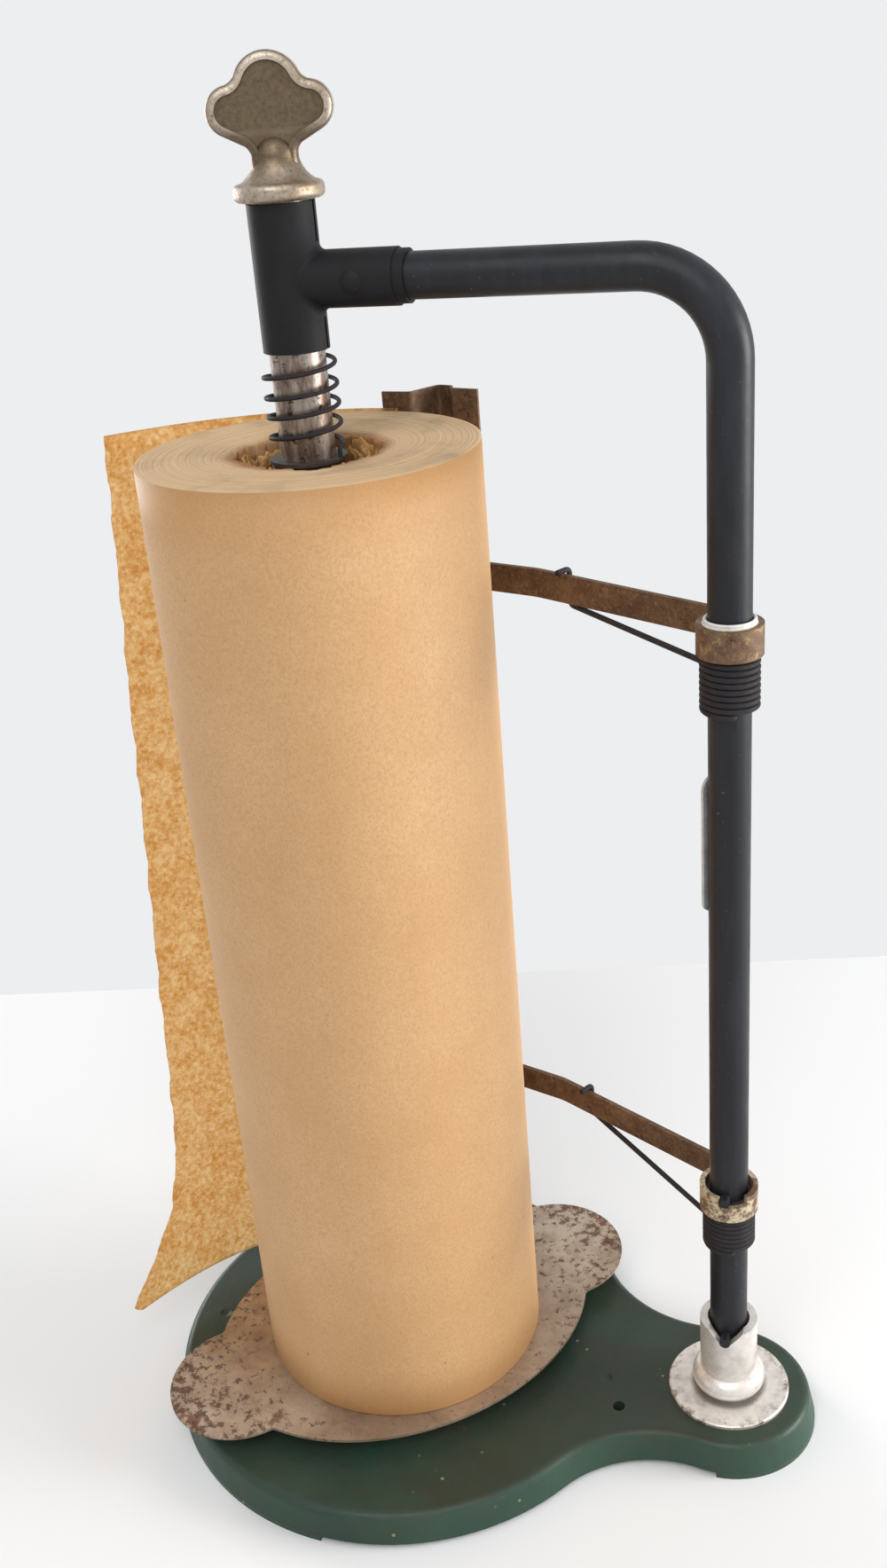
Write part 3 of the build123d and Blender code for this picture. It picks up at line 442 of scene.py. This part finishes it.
crease_deep = 0.0020
lean_deep = 0.0026
torn_share = 0.42
ribbon_thick = 0.0003
ribbon_turn = np.linspace(0, 2 * np.pi, 240, endpoint=False)
ribbon_up = np.linspace(0, 1, 14)[:, None]
for order, mean_r in enumerate((0.0270, 0.0252, 0.0234, 0.0217)):
    crease = ripple(ribbon_turn, (7, 13, 29), 20 + order, fold)
    torn = 0.5 + 0.5 * ripple(ribbon_turn, (5, 11, 37), 40 + order, fold)
    lean = ribbon_up**2 * ripple(ribbon_turn + 0.6 * order, (6, 15, 31), 60 + order, fold)
    ribbon_r = mean_r + crease_deep * crease * (0.4 + 0.6 * ribbon_up) + lean_deep * lean
    ribbon_tall = stuff_deep * (1.12 - 0.06 * order) * (1 - torn_share * torn)
    ribbon_points = around(AXIS, ribbon_r, ribbon_turn, stuff_low[2] + ribbon_up * ribbon_tall)
    ribbon = grid_piece(f"core_ribbon_{order}", ribbon_points, False, True)
    paper = ribbon.modifiers.new("paper", "SOLIDIFY")
    paper.thickness = ribbon_thick
    paper.offset = 0
    ribbon.data.materials.append(crumpled)
    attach(ribbon, "turntable")
    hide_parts("core_stuffing")


# Loose end of the paper
# The sheet runs off the back of the roll, past the tear bar and away to the left, where it was last torn
# by hand: a ragged edge, longer and curling forward at the foot. Light shines through it.
tail_low, tail_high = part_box("paper_tail")
leave_angle = math.radians(78.0)
leave_r = roll_r + 0.0005
tail_run = 0.230
tail_steps = 150
tail_rows = 190
torn_reach = 0.141
tear_deep = 0.0005
tear_fine = 0.0002
wave_from = 0.05
wave_grows = 0.12
wave_high = 0.0010
step_run = np.linspace(0, tail_run, tail_steps)
bend_at = np.array([0, 0.0185, 0.1002, 0.198, tail_run])
bend_way = np.radians([168.0, 183.1, 216.5, 247.5, 252.0])
way = np.interp(step_run, bend_at, bend_way)
step = step_run[1]
middle_way = (way[1:] + way[:-1]) / 2
leave = around(AXIS, leave_r, leave_angle, 0.0)
tail_x = leave[0] + np.concatenate([[0], np.cumsum(np.cos(middle_way) * step)])
tail_y = leave[1] + np.concatenate([[0], np.cumsum(np.sin(middle_way) * step)])
up_share = np.linspace(0, 1, tail_rows)
edge_up = (0.0, 0.009, 0.02, 0.058, 0.115, 0.19, 1.0)
edge_x = AXIS[0] - torn_reach * np.array((0.978, 0.992, 0.987, 0.938, 0.885, 0.855, 0.741))
tear = tear_deep * ripple(up_share, (97, 143, 331, 517), 15) + tear_fine * ripple(up_share, (19, 37), 16)
torn_x = np.interp(up_share, edge_up, edge_x) + tear
torn_run = np.interp(-torn_x, -tail_x, step_run)
across = np.linspace(0, 1, tail_steps)
sheet_run = torn_run[:, None] * across[None, :]
sheet_x = np.interp(sheet_run, step_run, tail_x)
sheet_y = np.interp(sheet_run, step_run, tail_y)
sheet_way = np.interp(sheet_run, step_run, way)
free = np.clip((sheet_run - wave_from) / wave_grows, 0, 1)
up_wave = ripple(up_share * 9, (1, 2.3), 31)[:, None]
cross_wave = 0.6 * ripple(across * 7, (1, 2.7), 32)[None, :]
wave = wave_high * free * (up_wave + cross_wave)
sheet_x = sheet_x - np.sin(sheet_way) * wave
sheet_y = sheet_y + np.cos(sheet_way) * wave
sheet_z = tail_low[2] + (tail_high[2] - tail_low[2]) * up_share[:, None]
tail_points = np.stack(np.broadcast_arrays(sheet_x, sheet_y, sheet_z), axis=-1)
tail_uv = np.stack(np.broadcast_arrays(sheet_run, sheet_z), axis=-1)
tail = grid_piece("loose_end", tail_points, uv=tail_uv)


def thin_paper(name, share, dark, light):
    """Kraft sheet that lets a share of the light through and sends the rest back.

    What comes through is tinted from dark to light by the paper's mottling, and palest at thin spots.
    """
    material = finish(name, "cda06c", 0.7, 0.0, 0.25)
    mottle = cloud(material, 360, 7, 0.72)
    coats(material, "c79a67", (window(material, mottle, 0.3, 0.75), "d6ad7f", 1))
    broad = reckon(material, "MULTIPLY", reckon(material, "SUBTRACT", cloud(material, 70, 4), 0.5), 0.4)
    cloudy = reckon(material, "ADD", mottle, broad)
    glow = layered(material, window(material, cloudy, 0.34, 0.68), dark, light)
    glow = layered(material, patches(material, 0.58, 0.68, 460, 5, 0.65), glow, "fff4da", 0.8)
    tree = material.node_tree
    through = tree.nodes.new("ShaderNodeBsdfTranslucent")
    tree.links.new(glow, through.inputs["Color"])
    both = tree.nodes.new("ShaderNodeMixShader")
    both.inputs["Fac"].default_value = share
    tree.links.new(tree.nodes["Principled BSDF"].outputs["BSDF"], both.inputs[1])
    tree.links.new(through.outputs["BSDF"], both.inputs[2])
    tree.links.new(both.outputs["Shader"], tree.nodes["Material Output"].inputs["Surface"])
    relief(material, mottle, 0.2, 0.0003)
    return material


tail.data.materials.append(thin_paper("loose_end_outside", 0.45, "fff0d8", "fffaf0"))
tail.data.materials.append(thin_paper("loose_end_inside", 0.85, "dca650", "fff0be"))
sheet_thick = 0.0002
sheet_body = tail.modifiers.new("sheet", "SOLIDIFY")
sheet_body.thickness = sheet_thick
sheet_body.offset = 0
sheet_body.material_offset = 1
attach(tail, "base")
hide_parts("paper_tail")


# Column and arm
# One length of steel tube, bent to a right angle and sprayed satin black, with a pin through its foot
# and a stop pin above the lower eye. The paint is rubbed grey in faint streaks.
satin_black = finish("satin_black", "2a2b2f", 0.45, 0.0, 0.25)
streak = patches(satin_black, 0.45, 0.8, 55, 8, 0.65, (1, 1, 0.25))
dust = patches(satin_black, 0.66, 0.74, 480, 4)
coats(satin_black, "1f2024", (streak, "313237", 1), (dust, "6a6560", 0.5))
feed(satin_black, "Roughness", patches(satin_black, -0.35, 1.75, 75))
relief(satin_black, cloud(satin_black, 700, 3), 0.15, 0.0002)
dress(satin_black, "arm_tube", "column_cross_pin", "collar_stop_pin")


# Tee on the arm's end
# Sheet steel folded round the spindle and the arm, open along a slit, riveted through the arm.
# Matt black, with rust breaking through in small spots.
matt_black = finish("matt_black", "222326", 0.6, 0.0, 0.2)
fret = patches(matt_black, 0.68, 0.73, 150, 9, 0.75)
coats(matt_black, "141416", (cloud(matt_black, 120, 6), "212123", 1), (fret, "6e4a2e", 1))
relief(matt_black, cloud(matt_black, 520, 4), 0.3, 0.0003)
dress(matt_black, "arm_head", "arm_head_rivet")


# Spindle and its seat
# Plated round bar that slides in the tee, scratched lengthwise and spotted with rust, with a dark sheet
# disc below the spring and the narrow turned plug that enters the roll.
plated_bar = finish("plated_bar", "a89d92", 0.3, 0.85)
drawn = cloud(plated_bar, 420, 6, 0.65, (1, 1, 0.12))
bar_tone = layered(plated_bar, window(plated_bar, drawn, 0.25, 0.8), "75685e", "c4bab0")
haze = patches(plated_bar, 0.44, 0.60, 120, 9, 0.75, (1, 1, 0.4))
spot = patches(plated_bar, 0.56, 0.61, 260, 8, 0.75)
coats(plated_bar, bar_tone, (haze, "5f4435", 0.8), (spot, "3d261b", 1))
feed(plated_bar, "Roughness", window(plated_bar, spot, -0.9, 1.6))
relief(plated_bar, drawn, 0.15, 0.0002)
dress(plated_bar, "spindle")

dark_sheet = finish("dark_sheet", "4c443d", 0.55, 0.55)
coats(dark_sheet, "564d45", (patches(dark_sheet, 0.4, 0.7, 160, 8, 0.7), "33271f", 1))
relief(dark_sheet, cloud(dark_sheet, 380, 4), 0.25, 0.0003)
dress(dark_sheet, "spring_seat", "core_cone", "lower_eye_bush")


# Lift knob
# Cast crest with a polished rim round a sunk, grainy panel, on a waisted neck and a round foot, pinned to
# the spindle. Nickel, tarnished warm grey-brown, and darkest on the neck and in the panel.
cast_nickel = finish("cast_nickel", "a59076", 0.34, 0.8)
knob_facing = math.radians(19.3)
panel_floor = 0.0049
floor_near = 0.0001
floor_far = 0.00035
crest_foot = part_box("knob")[0][2] + 0.0225
crest_full = crest_foot + 0.003
neck_from = crest_foot - 0.015
neck_full = crest_foot - 0.008
neck_end = crest_foot + 0.006
through_knob = cast_nickel.node_tree.nodes.new("ShaderNodeVectorMath")
through_knob.operation = "DOT_PRODUCT"
through_knob.inputs[1].default_value = (-math.sin(knob_facing), math.cos(knob_facing), 0)
cast_nickel.node_tree.links.new(spot_vector(cast_nickel), through_knob.inputs[0])
depth = reckon(cast_nickel, "ADD", through_knob.outputs["Value"], AXIS[0] * math.sin(knob_facing))
depth = reckon(cast_nickel, "ABSOLUTE", depth)
off_floor = reckon(cast_nickel, "ABSOLUTE", reckon(cast_nickel, "SUBTRACT", depth, panel_floor))
on_floor = window(cast_nickel, off_floor, floor_far, floor_near)
on_crest = window(cast_nickel, height_of(cast_nickel), crest_foot, crest_full)
sunk = reckon(cast_nickel, "MULTIPLY", on_floor, on_crest)
over_foot = window(cast_nickel, height_of(cast_nickel), neck_from, neck_full)
under_crest = window(cast_nickel, height_of(cast_nickel), neck_end, crest_foot)
neck = reckon(cast_nickel, "MULTIPLY", over_foot, under_crest)
grain = cloud(cast_nickel, 620, 5, 0.7)
tarnish = layered(cast_nickel, patches(cast_nickel, 0.35, 0.7, 75, 8), "bcb0a2", "8c7a62")
tarnish = layered(cast_nickel, window(cast_nickel, grain, 0.5, 0.75), tarnish, "64523a")
sunk_tone = layered(cast_nickel, window(cast_nickel, grain, 0.3, 0.7), "51463a", "76674f")
coats(cast_nickel, tarnish, (neck, "54442f", 0.8), (sunk, sunk_tone, 1))
rougher = reckon(cast_nickel, "MULTIPLY", sunk, 0.2)
feed(cast_nickel, "Roughness", reckon(cast_nickel, "ADD", window(cast_nickel, grain, -0.6, 1.9), rougher))
relief(cast_nickel, grain, 0.35, 0.0004)
dress(cast_nickel, "knob", "knob_pin")


# Spring on the spindle
# Open compression spring of dark drawn wire between the tee and its seat, drawn at rest and carried with
# the arm; the real one shuts up as the knob is lifted. Both ends turn square into what they press on.
def wire_piece(name, path, radius, sides=14, lean=(0.31, 0.17, 0.93)):
    """Round wire: a circle carried along a path, square to it, and closed to a point at both ends.

    The circle's two axes are the path crossed with lean, a direction it never takes, and with the first.
    """
    along = np.gradient(path, axis=0)
    along /= np.linalg.norm(along, axis=1, keepdims=True)
    first = np.cross(along, np.array(lean))
    first /= np.linalg.norm(first, axis=1, keepdims=True)
    second = np.cross(along, first)
    round_turn = np.linspace(0, 2 * np.pi, sides, endpoint=False)
    circle = (np.cos(round_turn)[None, :, None] * first[:, None, :]
              + np.sin(round_turn)[None, :, None] * second[:, None, :])
    caps = np.array([0.0] + [1.0] * len(path) + [0.0])[:, None, None]
    spine = np.concatenate([path[:1], path, path[-1:]])[:, None, :]
    ring = np.concatenate([circle[:1], circle, circle[-1:]])
    return grid_piece(name, spine + radius * caps * ring, False, True)


def rounded_route(corners, bend, per_bend=9, per_run=6):
    """Straight runs through the corners, with a curve at each from one bend before it to one after.

    The curve weighs its start, corner and end by the square of what is left, twice the product of left
    and done, and the square of what is done.
    """
    corners = np.array(corners, float)
    into = corners[1:-1] - corners[:-2]
    away = corners[2:] - corners[1:-1]
    into /= np.linalg.norm(into, axis=1, keepdims=True)
    away /= np.linalg.norm(away, axis=1, keepdims=True)
    starts = corners[1:-1] - bend * into
    ends = corners[1:-1] + bend * away
    share = np.linspace(0, 1, per_bend)[:, None]
    pieces = []
    last = corners[0]
    for start, corner, end in zip(starts, corners[1:-1], ends):
        pieces.append(last + np.linspace(0, 1, per_run, endpoint=False)[:, None] * (start - last))
        pieces.append((1 - share) ** 2 * start + 2 * share * (1 - share) * corner + share**2 * end)
        last = end + 1e-6 * (end - corner)
    pieces.append(last + np.linspace(0, 1, per_run)[1:, None] * (corners[-1] - last))
    return np.concatenate(pieces)


wire_steel = finish("dark_spring_wire", "2f2d2e", 0.6, 0.0, 0.12)
coats(wire_steel, "2d2b2f", (patches(wire_steel, 0.4, 0.72, 220, 7, 0.7), "3a3431", 1))
feed(wire_steel, "Roughness", patches(wire_steel, -0.6, 1.3, 350))
relief(wire_steel, cloud(wire_steel, 800, 3), 0.2, 0.0002)

seat_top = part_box("spring_seat")[1][2]
tee_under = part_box("arm_head")[0][2]
lift_wire = 0.0018
lift_coil_d = 0.0305
lift_r = lift_coil_d / 2 - lift_wire / 2
lead = lift_wire * 2.1
end_bend = lift_wire * 0.95
end_ease = 0.012
coil_turns = 4.25
coil_steps = 300
coil_turn = np.linspace(0, 2 * np.pi * coil_turns, coil_steps)
coil_share = np.linspace(0, 1, coil_steps)
level = coil_share + end_ease * np.sin(2 * np.pi * coil_share)
coil_z = seat_top + lead + (tee_under - seat_top - 2 * lead) * level
lift_coil = around(AXIS, lift_r, coil_turn, coil_z)
foot_way = np.array([0.0, -1.0, 0.0])
top_way = np.array([-math.sin(coil_turn[-1]), math.cos(coil_turn[-1]), 0.0])
foot_corner = lift_coil[0] + lift_wire * foot_way
top_corner = lift_coil[-1] + lift_wire * top_way
foot_end = np.array([foot_corner[0], foot_corner[1], seat_top])
top_end = np.array([top_corner[0], top_corner[1], tee_under])
foot_route = rounded_route([foot_end, foot_corner, lift_coil[0]], end_bend)
top_route = rounded_route([lift_coil[-1], top_corner, top_end], end_bend)
lift_path = np.concatenate([foot_route[:-1], lift_coil, top_route[1:]])
lift_spring = wire_piece("lift_spring", lift_path, lift_wire / 2)
lift_spring.data.materials.append(wire_steel)
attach(lift_spring, "arm")
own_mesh(lift_spring)
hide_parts("spindle_spring")


# Cutter arms and tear bar
# Flat strips rolled into open eyes round the column and riveted to a pressed bar behind the roll, against
# which the paper is torn. All rusted to a mottled brown; the eyes are rubbed, the lower one bright.
eye_reach = 0.0145
eye_fade = 0.004


def rusty(name, rubbed, share):
    """Brown rust in three tones with dark pits, and rubbed to another colour near the column's axis.

    There the rubbed colour lies where soft noise is under the share, less a fine grit.
    """
    material = finish(name, "6f543d", 0.6, 0.45)
    brown = layered(material, patches(material, 0.35, 0.68, 95, 9, 0.7), "4f3827", "785b44")
    grains = patches(material, 0.5, 0.75, 520, 6, 0.7)
    pit = patches(material, 0.58, 0.66, 330, 7, 0.75)
    near = window(material, far_from(material, COLUMN), eye_reach + eye_fade, eye_reach)
    rub = patches(material, share + 0.04, share - 0.04, 130, 9, 0.78)
    grit = patches(material, 0.56, 0.62, 650, 5, 0.7)
    rub = reckon(material, "SUBTRACT", reckon(material, "MULTIPLY", near, rub), grit)
    coats(material, brown, (grains, "a08260", 0.6), (pit, "2e2018", 0.85), (rub, rubbed, 1))
    feed(material, "Metallic", window(material, rub, -0.9, 1.3))
    relief(material, cloud(material, 300, 6), 0.35, 0.0004)
    return material


dress(rusty("rusty_strip", "96835e", 0.45), "upper_cutter_arm")
dress(rusty("rusty_strip_worn_eye", "d2c2a6", 0.49), "lower_cutter_arm")
dress(rusty("rusty_bar", "80624a", 0.2), "tear_bar", "tear_bar_rivets")

white_fibre = finish("white_packing", "e8e6e0", 0.7)
coats(white_fibre, "ebe9e4", (patches(white_fibre, 0.5, 0.8, 300, 6), "b9b2a4", 1))
relief(white_fibre, cloud(white_fibre, 700, 4), 0.3, 0.0003)
dress(white_fibre, "upper_eye_bush")


# Cutter springs
# Close-wound springs on the column below each eye. A short tang sits in the tube, and a long leg runs
# under the strip and hooks over it from behind, so the bar is pressed against the roll.
cutter_wire = 0.0025
cutter_coil_d = 0.0243
wire_clear = 0.00065
leg_way = math.radians(136.5)
strip_way = math.radians(152.0)
strip_back = 0.01335
hook_length = 0.008
tang_length = cutter_wire * 2.06
corner_room = cutter_wire * 1.06
steps_per_turn = 44


def cutter_spring(name, node, strip, turns, coil_h):
    """Wire through tang, clockwise helix, straight leg and square hook, worked out from the strip's box.

    The leg leaves the helix along its tangent, and runs on until it is clear of the strip's back.
    """
    radius = cutter_coil_d / 2 - cutter_wire / 2
    strip_low, strip_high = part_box(strip)
    high = strip_low[2] - cutter_wire / 2 - wire_clear
    low = high - coil_h
    share = np.linspace(0, 1, int(steps_per_turn * turns))
    bearing = leg_way + math.pi / 2 + 2 * np.pi * turns * (1 - share)
    helix = around(COLUMN, radius, bearing, low + (high - low) * share)
    first_way = np.array([math.sin(bearing[0]), -math.cos(bearing[0]), 0.0])
    corner = helix[0] - first_way * corner_room
    to_axis = np.array([COLUMN[0], COLUMN[1], corner[2]]) - corner
    to_axis /= np.linalg.norm(to_axis)
    tang = corner + to_axis * tang_length
    back = np.array([math.sin(strip_way), -math.cos(strip_way), 0.0])
    clear_back = strip_back + cutter_wire / 2 + wire_clear
    leg = np.array([math.cos(leg_way), math.sin(leg_way), 0.0])
    leg_foot = helix[-1] - np.array([COLUMN[0], COLUMN[1], helix[-1][2]])
    behind = helix[-1] + leg * (clear_back - leg_foot @ back) / (leg @ back)
    over = behind + np.array([0, 0, strip_high[2] - strip_low[2] + cutter_wire + 2 * wire_clear])
    hook_end = over - back * hook_length
    tang_route = rounded_route([tang, corner, helix[0]], cutter_wire)
    hook_route = rounded_route([helix[-1], behind, over, hook_end], corner_room)
    path = np.concatenate([tang_route[:-1], helix, hook_route[1:]])
    spring = wire_piece(name, path, cutter_wire / 2, 14, (0.55, 0.52, 0.65))
    spring.data.materials.append(wire_steel)
    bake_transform(spring)
    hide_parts(node)


cutter_spring("upper_cutter_spring", "upper_torsion_spring", "upper_cutter_arm", 8.135, 0.02155)
cutter_spring("lower_cutter_spring", "lower_torsion_spring", "lower_cutter_arm", 7.135, 0.01853)


# Leaf on the column
# Thin leaf with rounded ends, riveted flat on the back of the column.
# Plain grey metal, gone matt and a little blotched.
grey_leaf = finish("grey_leaf", "b4b6b8", 0.55, 0.1)
coats(grey_leaf, "c4c6c8", (patches(grey_leaf, 0.35, 0.7, 140, 7), "a3a19d", 1))
relief(grey_leaf, cloud(grey_leaf, 500, 4), 0.2, 0.0002)
dress(grey_leaf, "column_leaf", "leaf_rivet")


# Studio
# White table with its far edge before a pale wall, wide soft lamps, and a camera at the front right, about
# as high as the knob, tipped down and turned a little.
edge_left = np.array([-0.460, 0.276])
edge_right = np.array([0.189, 0.450])
table_half = 2.2
table_deep = 2.0
edge_way = (edge_right - edge_left) / np.linalg.norm(edge_right - edge_left)
edge_back = np.array([-edge_way[1], edge_way[0]])
edge_mid = (edge_left + edge_right) / 2
table_across = np.array([-table_half, table_half])[None, :, None] * edge_way
table_forward = np.array([-table_deep, 0.0])[:, None, None] * edge_back
table_points = np.concatenate([edge_mid + table_across + table_forward, np.zeros((2, 2, 1))], axis=-1)
table = grid_piece("table", table_points)
table_white = finish("table_white", "f4f4f4", 0.9, 0.0, 0.1)
coats(table_white, "f2f2f2", (cloud(table_white, 2, 2), "f6f6f6", 1))
table.data.materials.append(table_white)


def lamp(name, place, target, size, power):
    """Square soft lamp that faces a point."""
    light = bpy.data.lights.new(name, "AREA")
    light.shape = "SQUARE"
    light.size = size
    light.energy = power
    holder = bpy.data.objects.new(name, light)
    away = np.array(place, float) - np.array(target, float)
    tip = math.atan2(math.hypot(away[0], away[1]), away[2])
    swing = math.atan2(away[1], away[0]) + math.pi / 2
    holder.location = place
    holder.rotation_euler = (tip, 0, swing)
    bpy.context.scene.collection.objects.link(holder)


centre = (0.0, 0.0, 0.3)
lamp("key", (0.2, -1.45, 1.9), centre, 1.5, 21.5)
lamp("side", (1.65, 0.25, 0.5), centre, 0.8, 27)
lamp("back", (-1.6, 0.9, 0.7), (-0.13, 0.02, 0.3), 0.8, 15)

world = bpy.data.worlds.new("studio")
bpy.context.scene.world = world
world.use_nodes = True
world_tree = world.node_tree
sky = world_tree.nodes["Background"]
sky.inputs["Color"].default_value = tint("f2f4f6")
sky.inputs["Strength"].default_value = 0.5
wall = world_tree.nodes.new("ShaderNodeBackground")
wall.inputs["Color"].default_value = tint("edeef0")
seen = world_tree.nodes.new("ShaderNodeLightPath")
pick = world_tree.nodes.new("ShaderNodeMixShader")
direct = seen.outputs["Is Camera Ray"]
for ray in ("Is Glossy Ray", "Is Transmission Ray"):
    either = world_tree.nodes.new("ShaderNodeMath")
    either.operation = "MAXIMUM"
    world_tree.links.new(direct, either.inputs[0])
    world_tree.links.new(seen.outputs[ray], either.inputs[1])
    direct = either.outputs[0]
world_tree.links.new(direct, pick.inputs["Fac"])
world_tree.links.new(sky.outputs["Background"], pick.inputs[1])
world_tree.links.new(wall.outputs["Background"], pick.inputs[2])
world_tree.links.new(pick.outputs["Shader"], world_tree.nodes["World Output"].inputs["Surface"])

view_way = np.array([-0.2995, 0.8572, -0.4189])
view_right = np.array([0.9523, 0.2957, -0.0758])
view_up = np.array([-0.0589, 0.4216, 0.9048])
camera_place = np.array([0.2116, -0.5748, 0.6196])
focal_pixels = 1744.5
photo_height = 1768
camera_data = bpy.data.cameras.new("camera")
camera_data.sensor_width = 36
camera_data.lens = camera_data.sensor_width * focal_pixels / photo_height
camera = bpy.data.objects.new("camera", camera_data)
pose = np.eye(4)
pose[:3] = np.stack([view_right, view_up, -view_way, camera_place], axis=1)
camera.matrix_world = pose.T.tolist()
bpy.context.scene.collection.objects.link(camera)
bpy.context.scene.camera = camera
bpy.context.scene.view_settings.view_transform = "Standard"
